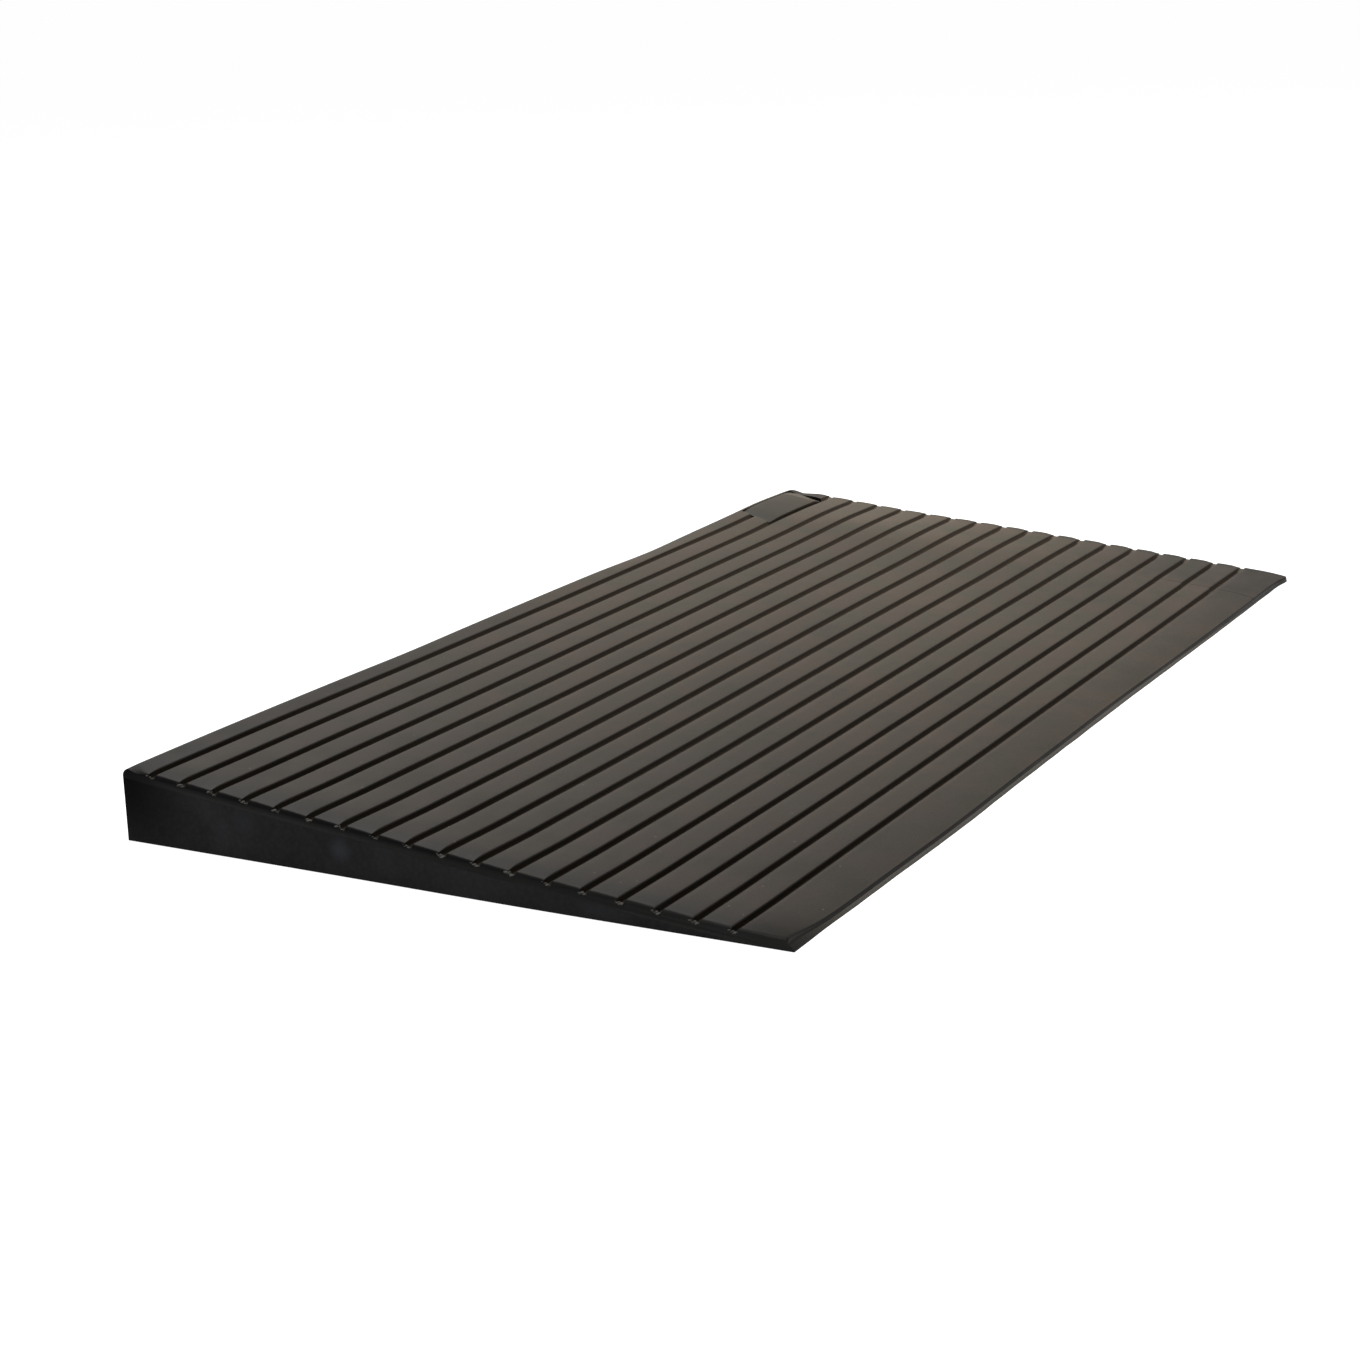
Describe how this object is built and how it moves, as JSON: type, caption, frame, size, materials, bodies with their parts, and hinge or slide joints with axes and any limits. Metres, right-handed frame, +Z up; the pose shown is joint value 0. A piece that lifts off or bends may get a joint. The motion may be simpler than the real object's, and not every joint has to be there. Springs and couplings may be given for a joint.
{
  "type": "threshold ramp",
  "caption": "Solid black rubber wedge with a grooved slope, laid against a door step so that wheels can roll over it.",
  "frame": {"origin": "on the floor, under the middle of the ramp's bounding box", "axes": "+X along the doorway, +Y up the slope towards the high edge, +Z up"},
  "size_m": [1, 0.495, 0.05],
  "materials": {
    "core_rubber": "matte, moulded recycled crumb",
    "tread_rubber": "matte, moulded, dusty",
    "plate_rubber": "matte, smooth moulded",
    "adhesive": "cured film"
  },
  "bodies": {
    "root": {"crumb_core": "core_rubber", "wear_layer": "tread_rubber", "name_plate": "plate_rubber", "plate_adhesive": "adhesive"}
  },
  "joints": []
}
